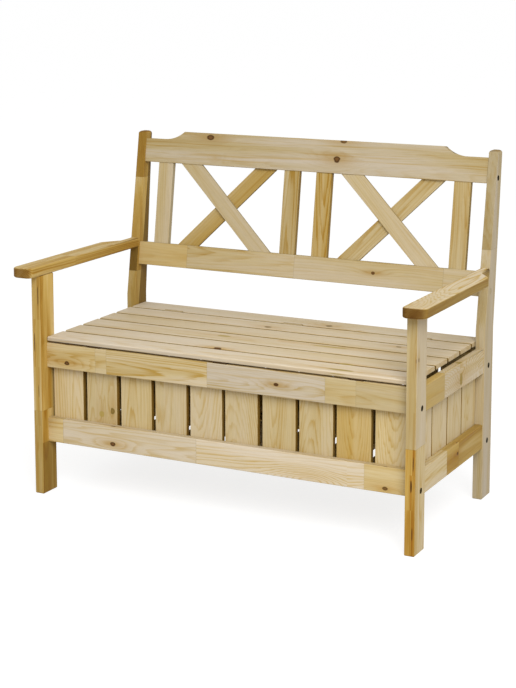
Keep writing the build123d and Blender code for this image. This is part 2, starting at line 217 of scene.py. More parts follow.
def pineRings(tree, look, ring, knot):
    across = vectors(tree, "MULTIPLY", ring, (0.0, 1.0, 1.0))
    stretch, spread, strength = look["knotBend"]
    swell = maths(tree, "MULTIPLY", reach(tree, knot, stretch, spread), split(tree, knot)["Z"])
    fromPith = maths(tree, "MULTIPLY_ADD", swell, strength, vectors(tree, "LENGTH", across))
    place = maths(tree, "DIVIDE", fromPith, look["ringWidth"])
    years = noise(tree, vectors(tree, "MULTIPLY", across, look["yearScale"])).outputs[0]
    year = maths(tree, "FRACT", maths(tree, "MULTIPLY_ADD", years, look["yearDrift"], place))
    rise = ease(tree, year, *look["lateRise"])
    return maths(tree, "MULTIPLY", rise, ease(tree, year, *look["lateFall"]))


def knotDistance(tree, knot, stretch):
    flat = vectors(tree, "MULTIPLY", knot, (stretch, 1.0, 0.0))
    return maths(tree, "DIVIDE", vectors(tree, "LENGTH", flat), split(tree, knot)["Z"])


def reach(tree, knot, stretch, spread):
    away = maths(tree, "DIVIDE", knotDistance(tree, knot, stretch), spread)
    return maths(tree, "EXPONENT", maths(tree, "MULTIPLY", maths(tree, "MULTIPLY", away, away), -1.0))


def warmthRamp(tree, warm, stops):
    full = stops[-1][0]
    ramp = addNode(tree, "ValToRGB", {"Fac": maths(tree, "DIVIDE", warm, full)})
    elements = ramp.color_ramp.elements
    for number, (place, shade) in enumerate(stops):
        element = elements[number] if number < len(elements) else elements.new(place / full)
        element.position = place / full
        element.color = shade
    return ramp.outputs["Color"]


# Knots with a ragged rim, and a warm halo along the grain
def addKnots(tree, look, body, knot, depth, resin):
    ragged = maths(tree, "SUBTRACT", resin, noiseMiddle)
    away = knotDistance(tree, knot, look["knotStretch"])
    ragged = maths(tree, "MULTIPLY_ADD", ragged, look["knotRagged"], away)
    halo = maths(tree, "MULTIPLY_ADD", depth, *look["haloShows"])
    halo = maths(tree, "MULTIPLY", reach(tree, knot, *look["haloReach"]), halo)
    body = blend(tree, halo, body, look["halo"], "MULTIPLY")
    rim = ease(tree, ragged, *look["rimEdge"])
    rim = maths(tree, "MAXIMUM", rim, ease(tree, depth, *look["rimShows"]))
    heart = blend(tree, rim, look["knotHeart"], look["knotRim"])
    heart = blend(tree, ease(tree, depth, *look["heartShows"]), look["knotPale"], heart)
    seen = ease(tree, ragged, *look["knotEdge"])
    seen = maths(tree, "MULTIPLY", seen, ease(tree, depth, *look["knotShows"]))
    return blend(tree, seen, body, heart)


def pineMaterial(look):
    material, tree, shader = newMaterial("pine")
    grain, ring, knot, tone, mark = [attribute(tree, name) for name in look["attributes"]]
    light, warm, cut = split(tree, tone)
    knotDepth, ringDepth, streakDepth = split(tree, mark)
    wave = grainWave(tree, look, grain)
    late = pineRings(tree, look, vectors(tree, "ADD", ring, wave), knot)
    grain = vectors(tree, "ADD", grain, wave)
    streak, resin, stain = [noise(tree, vectors(tree, "MULTIPLY", grain, look[name])).outputs[0]
                            for name in ("streakScale", "resinScale", "stainScale")]
    fibre = vectors(tree, "MULTIPLY", grain, look["fibreScale"])
    fibre = noise(tree, fibre, *look["fibreDetail"]).outputs[0]

    # heartwood and sapwood drift, then rings, resin, fibres and the block's own lightness
    drift = maths(tree, "MULTIPLY", ease(tree, streak, *look["streakWarmth"]), streakDepth)
    drift = maths(tree, "ADD", ease(tree, stain, *look["stainWarmth"]), drift)
    body = warmthRamp(tree, maths(tree, "ADD", warm, drift), look["warmth"])
    ringDepth = maths(tree, "MULTIPLY_ADD", cut, look["endRings"], ringDepth)
    strength = maths(tree, "MULTIPLY", ease(tree, streak, *look["ringFade"]), ringDepth)
    body = blend(tree, maths(tree, "MULTIPLY", late, strength), body, look["late"], "MULTIPLY")
    canals = maths(tree, "MULTIPLY", ease(tree, resin, *look["resinFlow"]), streakDepth)
    body = blend(tree, canals, body, look["resin"], "MULTIPLY")
    shade = maths(tree, "MULTIPLY", light, ease(tree, fibre, *look["fibreShade"]))
    body = addNode(tree, "VectorMath", {"Vector": body, "Scale": shade}, operation="SCALE").outputs[0]
    body = addKnots(tree, look, body, knot, knotDepth, resin)
    body = blend(tree, cut, body, look["endGrain"], "MULTIPLY")

    height = maths(tree, "MULTIPLY_ADD", late, look["ringRelief"], fibre)
    bump = addNode(tree, "Bump", {"Strength": look["bump"], "Distance": look["bumpDistance"],
                                  "Height": height})
    setSockets(tree, shader, {
        "Base Color": body,
        "Roughness": ease(tree, late, *look["roughness"]),
        "Normal": bump.outputs[0],
        "Specular IOR Level": look["shine"],
    })
    return material


pine = pineMaterial(pineLook)
print("pine mixed")


# Wood pieces: a merged copy of each solid, its long edges eased, cut where blocks of wood are
# jointed end to end, with the log's coordinates written on every face corner.
woodWork = {
    "mergeGap": 1e-5,
    "cutGap": 1e-6,
    "flatAngle": 1.0,           # degrees, below which faces count as one
    "sharpAngle": 32.0,         # degrees, above which an edge is eased
    "shortEdge": 0.01,          # shorter edges, as round a bore, stay sharp
    "alongShare": 0.72,         # how nearly an eased edge follows the grain
    "easeSteps": 3,
    "smoothAngle": 50.0,
    "normalWeight": 100,        # how much broad faces lead the shading
    "noKnot": (9.0, 9.0, 0.001),    # a knot too far off to show
    "rake": (0.3, 1.0),         # share of a log's slope that a block has along it
    "twist": (-0.5, 0.5),       # and aside
    "ringSpread": (0.75, 1.4),
    "logLength": 50.0,
    "glueLine": (0.0004, 0.7),  # half width and shade of the line between blocks
    "turnRange": (0.35, 0.85),  # over which a side turns into a face or an end
    "leastTurn": 0.4,           # below which a face counts as an end
    "roundArea": 2e-4,          # largest face of a rounded corner
    "boreArea": 5e-5,           # largest facet of a bore
    "boreReach": 0.012,         # longest edge of a bore's facets
    "boreTurn": -3.0,           # degrees, below which an edge is hollow
    # painted shade: lightness left on the facets inside bores, where shade falls
    "boreShade": 0.08,
    "insideTone": (0.95, 0.9),  # faces that look into the box
    "insideTurn": 0.7,          # how squarely a face looks that way
}

# What a piece looks like unless its own look says otherwise
plainWood = {
    "joints": (),               # along the grain
    "quiet": (),                # joints that change the tone but not the log
    "tones": ((1.0, 0.45, 0.85, 0.7),),  # each block's faces, then edges: lightness, warmth
    "grain": ((0.7, 0.2),),     # each block's rings and streaks
    "knots": (),                # point, radius, stretch along the grain, darkness
    "ends": (0.9, 0.2, 0.6),    # lightness, added warmth, end grain
    "slide": (0.0, 0.0),        # lightness and warmth gained along the piece
    "rise": (0.0, 0.0),         # gained across it
    "bow": (0.0, 0.0),          # gained from its middle to each end
    "log": (0.055, 0.011, 0.055, 0.05),  # pith's reach aside, least and most depth, slope
    "bores": True,              # whether small hollow faces get painted shade
    "rounded": False,           # whether tones flow round its corners
    "inside": None,             # direction of the faces that look into the box
    "back": None,               # lightness and warmth of the edges that look backwards
    "shade": None,              # painted shadow: plane's point and direction, then the way and tone of the shadowed faces beyond it
}


def looseShells(shape):
    unseen = dict.fromkeys(shape.faces)     # in the mesh's own order, so that every run draws alike
    while unseen:
        shell = [unseen.popitem()[0]]
        for face in shell:
            near = [other for edge in face.edges for other in edge.link_faces if other in unseen]
            for other in dict.fromkeys(near):
                del unseen[other]
                shell.append(other)
        yield shell


def cutShape(shape, point, normal):
    everything = shape.verts[:] + shape.edges[:] + shape.faces[:]
    bmesh.ops.bisect_plane(shape, geom=everything, dist=woodWork["cutGap"], plane_co=point, plane_no=normal)


def easeEdges(shape, along, width):
    sharp = radians(woodWork["sharpAngle"])
    rims = []
    for edge in shape.edges:
        long = edge.calc_length() > woodWork["shortEdge"]
        if long and len(edge.link_faces) == 2 and edge.calc_face_angle_signed() > sharp:
            run = (edge.verts[1].co - edge.verts[0].co).normalized()
            if abs(run.dot(along)) > woodWork["alongShare"]:
                rims.append(edge)
    bmesh.ops.bevel(shape, geom=rims, offset=width, offset_type="OFFSET", affect="EDGES",
                    segments=woodWork["easeSteps"], profile=0.5, material=-1, clamp_overlap=False)


def logPlace(dice, middle, axes, log):
    aside, nearest, farthest, slope = log
    pith = Vector((0, dice.uniform(-aside, aside), dice.uniform(nearest, farthest)))
    rake = dice.choice((-1, 1)) * dice.uniform(*woodWork["rake"]) * slope
    twist = dice.uniform(*woodWork["twist"]) * slope
    tilt = Matrix.Rotation(rake, 4, "Y") @ Matrix.Rotation(twist, 4, "Z")
    spread = dice.uniform(*woodWork["ringSpread"])
    tilt = Matrix.Diagonal((1, spread, spread, 1)) @ tilt
    start = Vector((dice.uniform(0, woodWork["logLength"]), 0, 0))
    block = axes @ Matrix.Translation(-middle)
    return Matrix.Translation(start + pith) @ block, Matrix.Translation(pith) @ tilt @ block


def turned(normal, direction):
    low, high = woodWork["turnRange"]
    return min(max((abs(normal.dot(direction)) - low) / (high - low), 0), 1)


def inBore(part):
    hollow = radians(woodWork["boreTurn"])
    small = part.calc_area() < woodWork["boreArea"]
    short = max(edge.calc_length() for edge in part.edges) < woodWork["boreReach"]
    return small and short and any(len(edge.link_faces) == 2 and edge.calc_face_angle_signed() < hollow
                                   for edge in part.edges)


def toneOf(part, normal, along, face, tone, look):
    faceLight, faceWarm, edgeLight, edgeWarm = tone
    endLight, endWarm, endCut = look["ends"]
    flat, cut = turned(normal, face), turned(normal, along)
    if look["back"] and normal.y > woodWork["insideTurn"]:
        edgeLight, edgeWarm = look["back"]
    # painted shadow: faces beyond the plane that look its way take the shadow's tone
    if look["shade"]:
        point, beyond, way, paintedShadowTone = look["shade"]
        past = (part.calc_center_median() - Vector(point)).dot(Vector(beyond)) > 0
        if past and normal.dot(Vector(way)) > woodWork["insideTurn"]:
            faceLight, faceWarm = paintedShadowTone
    if look["inside"] and normal.dot(Vector(look["inside"])) > woodWork["insideTurn"]:
        faceLight, faceWarm = woodWork["insideTone"]
    light = edgeLight + (faceLight - edgeLight) * flat
    warm = edgeWarm + (faceWarm - edgeWarm) * flat
    light += (faceLight * endLight - light) * cut
    warm += (faceWarm + endWarm - warm) * cut
    # painted shade on the small facets inside bores
    if look["bores"] and inBore(part):
        light *= woodWork["boreShade"]
    return light, warm, cut * endCut


def blockOf(values, block):
    return values[min(block, len(values) - 1)]


def logPlaces(name, stops, middle, along, axes, look):
    places = []
    for block, (start, end) in enumerate(zip(stops, stops[1:])):
        dice = Random(f"{name} {block}")
        centre = middle + along * ((start + end) / 2 - middle.dot(along))
        same = start in look["quiet"]
        places.append(places[-1] if same else logPlace(dice, centre, axes, look["log"]))
    return places


def knotPlace(knot, point, along, aside):
    if not knot:
        return woodWork["noKnot"]
    radius, stretch = knot[3:5]
    away = point - Vector(knot[:3])
    return away.dot(along) / stretch, away.dot(aside), radius


# Lightness and warmth gained by a point, whose shares of its piece both run from -0.5 to 0.5
def toneGain(look, alongShare, acrossShare):
    shares = {"slide": alongShare, "rise": acrossShare, "bow": abs(2 * alongShare)}
    return [sum(look[way][tone] * share for way, share in shares.items()) for tone in range(2)]


def dressFaces(shape, name, along, face, look):
    across = face.cross(along)
    axes = Matrix((along, across, face)).to_4x4()
    grainLayer, ringLayer, knotLayer, toneLayer, markLayer = [
        shape.loops.layers.float_vector.new(layer) for layer in pineLook["attributes"]]
    lineHalf, lineShade = woodWork["glueLine"]
    joints = look["joints"]
    lines = [joint for joint in joints if joint not in look["quiet"]]
    for number, shell in enumerate(looseShells(shape)):
        points = [vert.co for part in shell for vert in part.verts]
        low = min(point.dot(along) for point in points)
        high = max(point.dot(along) for point in points)
        middle = sum(points, Vector()) / len(points)
        breadth = 2 * max(abs((point - middle).dot(across)) for point in points)
        places = logPlaces(f"{name} {number}", [low, *joints, high], middle, along, axes, look)
        for part in shell:
            centre = part.calc_center_median()
            block = sum(centre.dot(along) > joint for joint in joints)
            tone = blockOf(look["tones"], block)
            light, warm, cut = toneOf(part, part.normal, along, face, tone, look)
            if any(abs(centre.dot(along) - line) < lineHalf for line in lines):
                light *= lineShade
            knot = min(look["knots"], key=lambda spot: (Vector(spot[:3]) - centre).length, default=None)
            mark = (knot[-1] if knot else 0, *blockOf(look["grain"], block))
            flowing = look["rounded"] and part.calc_area() < woodWork["roundArea"]
            aside = part.normal.cross(along)
            aside = across if aside.length < woodWork["leastTurn"] else aside.normalized()
            for corner in part.loops:
                point = corner.vert.co
                if flowing:
                    light, warm, cut = toneOf(part, corner.vert.normal, along, face, tone, look)
                share = (point.dot(along) - low) / (high - low) - 0.5
                moreLight, moreWarm = toneGain(look, share, (point - middle).dot(across) / breadth)
                corner[grainLayer], corner[ringLayer] = [place @ point for place in places[block]]
                corner[knotLayer] = knotPlace(knot, point, along, aside)
                corner[toneLayer] = (light + moreLight, warm + moreWarm, cut)
                corner[markLayer] = mark


def finishWood(shape, name, along, face, look):
    shape.normal_update()
    dressFaces(shape, name, along, face, look)
    mesh = bpy.data.meshes.new(name + "-wood")
    shape.to_mesh(mesh)
    shape.free()
    mesh.shade_smooth()
    mesh.set_sharp_from_angle(angle=radians(woodWork["smoothAngle"]))
    mesh.materials.append(pine)
    piece = bpy.data.objects.new(name + "-wood", mesh)
    scene.collection.objects.link(piece)
    weigh = piece.modifiers.new("evenNormals", "WEIGHTED_NORMAL")
    weigh.keep_sharp = True
    weigh.weight = woodWork["normalWeight"]
    return piece


def woodPiece(node, along, face, width, **ownLook):
    look = plainWood | ownLook
    along, face = Vector(along), Vector(face)
    source = frame["nodes"][node]
    shape = bmesh.new()
    shape.from_mesh(source.data)
    bmesh.ops.remove_doubles(shape, verts=shape.verts, dist=woodWork["mergeGap"])
    bmesh.ops.dissolve_limit(shape, angle_limit=radians(woodWork["flatAngle"]),
                             verts=shape.verts, edges=shape.edges)
    if width:
        easeEdges(shape, along, width)

    # cuts beside each glue line, between knots, where the painted shadow begins and at the middle of a bow
    lineHalf = woodWork["glueLine"][0]
    for joint in look["joints"]:
        cutShape(shape, along * (joint - lineHalf), along)
        cutShape(shape, along * (joint + lineHalf), along)
    for first, second in combinations([Vector(knot[:3]) for knot in look["knots"]], 2):
        cutShape(shape, (first + second) / 2, (second - first).normalized())
    if look["shade"]:
        cutShape(shape, *look["shade"][:2])
    if any(look["bow"]):
        spots = [vert.co.dot(along) for vert in shape.verts]
        cutShape(shape, along * (min(spots) + max(spots)) / 2, along)
    piece = finishWood(shape, node, along, face, look)
    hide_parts(node)
    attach(piece, source["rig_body"])


xAxis, yAxis, zAxis = (1, 0, 0), (0, 1, 0), (0, 0, 1)
left, right = (-1, 0, 0), (1, 0, 0)
front, back, top = (0, -1, 0), (0, 1, 0), (0, 0, 1)
backLean = radians(8.4)
backFace = (0, -cos(backLean), sin(backLean))
backUp = Vector((0, sin(backLean), cos(backLean)))

# How far the long edges of each kind of piece are eased
easedBy = {
    "rail": 0.002,
    "leg": 0.0012,
    "infill": 0.0012,
    "board": 0.0015,
    "lidBatten": 0.0015,
    "floorBatten": 0.001,
    "rounded": 0.0,             # armrests and slats, rounded in their solids
}

# Looks of the rails, in order along the bench
railLooks = {
    "front_upper_rail": {
        "joints": (-0.392, -0.356, -0.037, 0.313, 0.401),
        # edges at 1.1, lighter than the faces: painted light on the rail's top face, which lifts the shade
        # seen in the gap under the lid
        "tones": ((1.06, 0.68, 1.1, 0.55), (1.02, 0.62, 1.1, 0.55), (1.0, 0.54, 1.1, 0.55),
                  (0.83, 0.15, 1.1, 0.55), (0.92, 0.68, 1.1, 0.55), (0.86, 0.67, 1.1, 0.55)),
        "grain": ((0.8, 0.2), (0.6, 0.2), (1.1, 0.3), (0.8, 0.2), (0.5, 0.12), (0.5, 0.12)),
        "knots": ((-0.486, -0.259, 0.384, 0.006, 1.0, 0.9), (0.171, -0.259, 0.399, 0.0045, 1.0, 1.3)),
        "log": (0.02, 0.008, 0.03, 0.06),
        "inside": back,
    },
    "front_lower_rail": {
        "joints": (-0.502, -0.072, 0.426),
        "tones": ((1.16, 0.62, 0.9, 0.7), (1.0, 0.1, 0.9, 0.3), (1.06, 0.13, 0.9, 0.3),
                  (1.09, 0.78, 0.9, 0.5)),
        "grain": ((0.8, 0.15), (0.6, 0.15), (0.75, 0.15), (0.5, 0.15)),
        "knots": ((-0.338, -0.259, 0.168, 0.0055, 1.0, 1.0), (0.271, -0.259, 0.154, 0.011, 0.6, 0.05),
                  (0.485, -0.259, 0.160, 0.0045, 1.0, 0.8)),
        "inside": back,
    },
    "rear_upper_rail": {
        "joints": (-0.21, 0.33),
        "tones": ((1.0, 0.5, 0.9, 0.5), (1.0, 0.25, 0.9, 0.4), (1.0, 0.65, 0.9, 0.6)),
        "knots": ((-0.38, 0.268, 0.40, 0.006, 1.0, 1.0), (0.12, 0.268, 0.39, 0.005, 1.0, 0.8)),
        "inside": front,
    },
    "rear_lower_rail": {
        "joints": (-0.33, 0.18),
        "tones": ((1.0, 0.35, 0.9, 0.5), (1.0, 0.6, 0.9, 0.6), (1.0, 0.2, 0.9, 0.4)),
        "knots": ((0.31, 0.268, 0.185, 0.006, 1.0, 1.0),),
        "inside": front,
    },
}
for node, look in railLooks.items():
    woodPiece(node, xAxis, front, easedBy["rail"], **look)

backRailLooks = {
    "back_mid_rail": {
        "joints": (-0.384, -0.024, 0.442),
        "tones": ((1.03, 0.82, 0.85, 0.8), (0.88, 0.52, 0.85, 0.6), (0.86, 0.45, 0.85, 0.5),
                  (0.86, 0.47, 0.85, 0.5)),
        "grain": ((0.3, 0.1), (0.8, 0.25), (0.45, 0.2), (0.45, 0.2)),
        "knots": ((0.228, 0.252, 0.616, 0.004, 1.0, 1.0),),
    },
    "back_top_rail": {
        "tones": ((0.78, 0.18, 0.9, 0.4),),
        "grain": ((0.3, 0.3),),
        "slide": (-0.03, -0.2),
        "rise": (0.0, 0.3),
        "bow": (0.0, 0.36),
        "knots": ((-0.329, 0.305, 0.974, 0.0075, 1.0, 1.0), (-0.309, 0.296, 0.915, 0.004, 0.5, 0.15),
                  (0.091, 0.298, 0.932, 0.0092, 0.72, 1.0), (0.109, 0.306, 0.984, 0.005, 1.4, 0.8)),
    },
}
for node, look in backRailLooks.items():
    woodPiece(node, xAxis, backFace, easedBy["rail"], **look)

sideRailLooks = {
    "side_upper_rail_right": {
        "joints": (-0.080, 0.035),
        "tones": ((0.95, 0.87, 1.0, 0.9), (0.9, 0.24, 0.9, 0.5), (0.95, 0.3, 0.9, 0.5)),
        "grain": ((0.3, 0.12), (1.0, 0.2), (1.0, 0.2)),
        "knots": ((0.577, 0.045, 0.390, 0.016, 0.4, 0.55),),
        "inside": left,
    },
    "side_lower_rail_right": {
        "joints": (-0.054, 0.037),
        "tones": ((1.05, 0.56, 0.9, 0.5), (1.07, 1.17, 0.9, 1.0), (0.97, 1.1, 0.9, 0.8)),
        "grain": ((0.8, 0.2), (0.4, 0.2), (0.6, 0.3)),
        "knots": ((0.577, 0.027, 0.189, 0.004, 1.0, 1.0),),
        "inside": left,
    },
    "side_upper_rail_left": {
        "joints": (0.05,),
        "tones": ((1.0, 0.4, 0.9, 0.5), (1.0, 0.6, 0.9, 0.6)),
        "inside": right,
    },
    "side_lower_rail_left": {
        "joints": (-0.02,),
        "tones": ((1.0, 0.6, 0.9, 0.6), (1.0, 0.35, 0.9, 0.5)),
        "inside": right,
    },
}
for node, look in sideRailLooks.items():
    woodPiece(node, yAxis, right, easedBy["rail"], **look)
print("rails dressed")

# Legs, whose broad faces look sideways
postLean = radians(9.26)
legLooks = {
    "front_leg_left": {
        # painted shade: below 0.15 the side faces are darker and warmer, for the shade under the box; the
        # quiet joint there keeps the log
        "joints": (0.15, 0.243),
        "quiet": (0.15,),
        "tones": ((0.88, 1.35, 0.96, 0.9), (1.22, 1.14, 0.96, 0.88), (1.22, 1.14, 1.1, 0.76)),
        "grain": ((0.8, 0.3), (0.8, 0.3), (0.6, 0.3)),
        "knots": ((-0.559, -0.289, 0.575, 0.0015, 12.0, 0.8), (-0.573, -0.289, 0.44, 0.0014, 12.0, 0.8),
                  (-0.562, -0.289, 0.30, 0.0013, 10.0, 0.7), (-0.571, -0.289, 0.10, 0.0012, 10.0, 0.5)),
    },
    "front_leg_right": {
        "joints": (0.283,),
        "tones": ((1.02, 0.56, 1.24, 1.06), (0.89, 0.2, 0.84, 0.72)),
        "grain": ((0.9, 0.35), (0.35, 0.2)),
        "knots": ((0.580, -0.276, 0.514, 0.0025, 1.5, 1.0), (0.574, -0.289, 0.245, 0.0012, 10.0, 1.2),
                  (0.569, -0.289, 0.186, 0.002, 5.0, 1.4), (0.573, -0.289, 0.06, 0.0012, 10.0, 1.2)),
    },
    "rear_leg_left": {
        # painted shadow under the armrest over a darker block of wood: the front edge between 0.558 and
        # 0.645 is dark, while the backward edges keep their own tone
        "joints": (0.558, 0.645, 0.843),
        "quiet": (0.645,),
        "tones": ((0.9, 1.0, 0.85, 0.9), (1.0, 1.1, 0.48, 1.35), (1.15, 1.0, 1.0, 0.95),
                  (1.0, 1.15, 0.88, 1.26)),
        # painted shadow of the back's nearest upright on the post's inner face, behind this plane
        "shade": ((-0.566, 0.249, 0.486), (0, cos(postLean), -sin(postLean)), right, (0.52, 1.35)),
        "grain": ((0.5, 0.2),),
        "back": (0.85, 0.95),
    },
    "rear_leg_right": {
        "joints": (0.71,),
        "tones": ((0.79, 0.24, 0.8, 0.5), (0.76, 0.34, 0.66, 0.72)),
        "grain": ((0.45, 0.2),),
    },
}
for node, look in legLooks.items():
    woodPiece(node, zAxis, right, easedBy["leg"], **look)
print("legs dressed")

# Wooden plugs that hide the middle rail's bolts in the posts
plugLook = {
    "heights": (0.55, 0.68),    # between which the middle rail's bolts lie
    "radius": 0.0078,
    "sides": 32,
    "thick": 0.0042,
    "sink": 0.0001,             # below the post's face
    "edge": 0.0004,
    "edgeSteps": 2,
    "tone": (0.76, 0.34, 0.7, 0.6),
}


def plugBolts(look):
    bolts = bmesh.new()
    bolts.from_mesh(frame["nodes"]["frame_bolts"].data)
    bmesh.ops.remove_doubles(bolts, verts=bolts.verts, dist=woodWork["mergeGap"])
    lowest, highest = look["heights"]
    shape = bmesh.new()
    for shell in looseShells(bolts):
        points = [vert.co for part in shell for vert in part.verts]
        low, high = [Vector(pick(point[axis] for point in points) for axis in range(3))
                     for pick in (min, max)]
        middle = (low + high) / 2
        if lowest < middle.z < highest:
            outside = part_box("rear_leg_right")[1][0] - look["sink"] - look["thick"] / 2
            middle.x = outside if middle.x > 0 else -outside
            place = Matrix.Translation(middle) @ Matrix.Rotation(radians(90), 4, "Y")
            bmesh.ops.create_cone(shape, cap_ends=True, segments=look["sides"], radius1=look["radius"],
                                  radius2=look["radius"], depth=look["thick"], matrix=place)
    bolts.free()
    rims = [edge for edge in shape.edges if edge.calc_face_angle() > radians(woodWork["sharpAngle"])]
    bmesh.ops.bevel(shape, geom=rims, offset=look["edge"], offset_type="OFFSET", affect="EDGES",
                    segments=look["edgeSteps"], profile=0.5, material=-1)
    wood = plainWood | {"tones": (look["tone"],)}
    piece = finishWood(shape, "bolt_plugs", Vector(zAxis), Vector(right), wood)
    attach(piece, "frame")


plugBolts(plugLook)
print("plugs fitted")

# Armrests
armLooks = {
    "armrest_left": {
        "joints": (-0.105,),
        "tones": ((1.12, 0.84, 1.06, 0.94), (1.1, 0.86, 1.06, 1.14)),
        "grain": ((1.5, 0.2),),
        "ends": (0.76, 0.1, 0.9),
        "log": (0.06, 0.03, 0.05, 0.05),
    },
    "armrest_right": {
        "tones": ((1.05, 0.25, 0.76, 1.12),),
        "grain": ((1.3, 0.2),),
        "ends": (0.59, 0.55, 1.0),
        "slide": (0.08, -0.4),
        "knots": ((0.575, -0.300, 0.659, 0.016, 0.7, 0.0),),    # only bends the rings
    },
}
for node, look in armLooks.items():
    woodPiece(node, yAxis, top, easedBy["rounded"], bores=False, rounded=True, **look)

# Uprights and crossed braces of the back
infillLook = {
    "faces": {                  # lightness, warmth and rings
        "back_upright_1": (0.88, 0.42, 0.35), "back_upright_2": (0.83, 0.78, 1.6),
        "back_upright_3": (0.93, 0.91, 1.6), "back_upright_4": (0.86, 0.66, 0.6),
        "back_brace_left_front": (0.84, 0.5, 0.4), "back_brace_left_rear": (0.91, 0.88, 0.4),
        "back_brace_right_front": (0.88, 0.43, 0.45), "back_brace_right_rear": (0.88, 0.6, 0.7),
    },
    # painted shade on the sides of the uprights and braces
    "edgeShade": 0.75,
    "edgeWarmth": 0.2,          # added to the face's
    "streaks": 0.15,
    "endReach": 0.001,          # within which points belong to an end
}


def infillRun(node, endReach):
    points = [vert.co for vert in frame["nodes"][node].data.vertices]
    lowest = min(point.dot(backUp) for point in points)
    highest = max(point.dot(backUp) for point in points)
    feet = [point for point in points if point.dot(backUp) < lowest + endReach]
    heads = [point for point in points if point.dot(backUp) > highest - endReach]
    return (sum(heads, Vector()) / len(heads) - sum(feet, Vector()) / len(feet)).normalized()


for node, (light, warm, rings) in infillLook["faces"].items():
    tone = (light, warm, infillLook["edgeShade"] * light, warm + infillLook["edgeWarmth"])
    woodPiece(node, infillRun(node, infillLook["endReach"]), backFace, easedBy["infill"],
              tones=(tone,), grain=((rings, infillLook["streaks"]),))
print("armrests and back dressed")

# Boards of the box, with how light and warm their faces are
boardLook = {
    "front": ((1.1, 0.53), (0.97, 0.6), (1.02, 0.62), (0.96, 0.56), (0.98, 0.46),
              (0.95, 0.52), (0.95, 0.62), (0.94, 0.6), (1.06, 0.88), (1.07, 0.55)),
    "others": (1.02, 0.47),
    # painted shade: board edges darker, for the shade in the gaps between boards
    "edges": (0.75, 1.35),
    "knots": {                  # by the front board's number
        2: ((-0.387, -0.237, 0.243, 0.0075, 0.8, 0.4), (-0.350, -0.237, 0.256, 0.0065, 1.0, 0.65)),
    },
    "wood": {"grain": ((0.7, 0.1),), "log": (0.03, 0.012, 0.04, 0.14)},
    "floor": (0.92, 0.75, 0.7, 1.1),
    "floorBattens": (0.8, 0.8, 0.6, 1.1),
}
for number, tone in enumerate(boardLook["front"], 1):
    knots = boardLook["knots"].get(number, ())
    woodPiece(f"front_board_{number}", zAxis, front, easedBy["board"], inside=back,
              tones=(tone + boardLook["edges"],), knots=knots, **boardLook["wood"])
for node, face, inside in (("rear_boards", front, front), ("side_boards_left", right, right),
                           ("side_boards_right", right, left)):
    woodPiece(node, zAxis, face, easedBy["board"], inside=inside,
              tones=(boardLook["others"] + boardLook["edges"],), **boardLook["wood"])
woodPiece("floor_boards", yAxis, top, easedBy["board"], tones=(boardLook["floor"],))
for node in ("floor_batten_front", "floor_batten_rear"):
    woodPiece(node, xAxis, front, easedBy["floorBatten"], tones=(boardLook["floorBattens"],))

# Seat slats, with how light and warm their faces are, and the lid's battens
slatLook = {
    "faces": {
        "seat_slat_1": (1.07, 0.0), "seat_slat_2": (1.04, 0.2), "seat_slat_3": (1.04, 0.22),
        "seat_slat_4": (1.02, 0.2), "seat_slat_5": (1.02, 0.15), "seat_slat_rear": (0.98, 0.2),
    },
    # painted shade: slat edges darker, for the shade in the gaps between slats
    "edges": (0.52, 1.35),
    # painted shade on the front slat's front edge, which faces the softbox
    "frontEdges": {"seat_slat_1": (0.86, 0.1)},
    "seatHeight": 0.4535,
    "knots": {                  # place on the seat, radius, stretch, darkness
        "seat_slat_1": ((0.348, -0.235, 0.006, 4.0, 0.5),),
        "seat_slat_2": ((-0.055, -0.164, 0.007, 1.0, 1.2), (0.333, -0.171, 0.006, 2.5, 0.5)),
        "seat_slat_3": ((-0.108, -0.027, 0.007, 2.0, 0.45), (0.215, -0.014, 0.007, 5.0, 0.4)),
        "seat_slat_4": ((0.384, 0.071, 0.005, 1.0, 0.7),),
        "seat_slat_5": ((-0.049, 0.132, 0.008, 0.8, 0.7),),
        "seat_slat_rear": ((0.104, 0.223, 0.009, 0.8, 0.7),),
    },
    "wood": {"grain": ((0.6, 0.15),), "ends": (0.95, 0.15, 0.1), "slide": (0.08, 0.0)},
    "lidBattens": (0.95, 0.7, 0.75, 1.2),
}
for node, tone in slatLook["faces"].items():
    edges = slatLook["frontEdges"].get(node, slatLook["edges"])
    knots = [(x, y, slatLook["seatHeight"], *rest) for x, y, *rest in slatLook["knots"][node]]
    woodPiece(node, xAxis, top, easedBy["rounded"], tones=(tone + edges,), knots=knots, **slatLook["wood"])
for node in ("lid_batten_left", "lid_batten_middle", "lid_batten_right"):
    woodPiece(node, yAxis, top, easedBy["lidBatten"], tones=(slatLook["lidBattens"],))
print("boards, slats and battens dressed")


# Metal, rubber and dowels: the solids as they are, with a fine mottle
mottleLook = {
    "detail": (4.0, 0.6),       # octaves and roughness
    "colourRange": (0.3, 0.7),
    "roughRange": (0.2, 0.8),
    "bumpDistance": 0.0003,
}


def mottledMaterial(name, look):
    material, tree, shader = newMaterial(name)
    spots = addNode(tree, "TexCoord", {}).outputs["Object"]
    spots = vectors(tree, "MULTIPLY", spots, look["scale"])
    mottle = noise(tree, spots, *mottleLook["detail"]).outputs[0]
    factor = ease(tree, mottle, *mottleLook["colourRange"])
    bump = addNode(tree, "Bump", {"Strength": look["bump"], "Distance": mottleLook["bumpDistance"],
                                  "Height": mottle})
    setSockets(tree, shader, {
        "Base Color": blend(tree, factor, look["dark"], look["light"]),
        "Roughness": ease(tree, mottle, *mottleLook["roughRange"], *look["roughness"]),
        "Metallic": look["metallic"],
        "Normal": bump.outputs[0],
        "Specular IOR Level": look["shine"],
    })
    return material


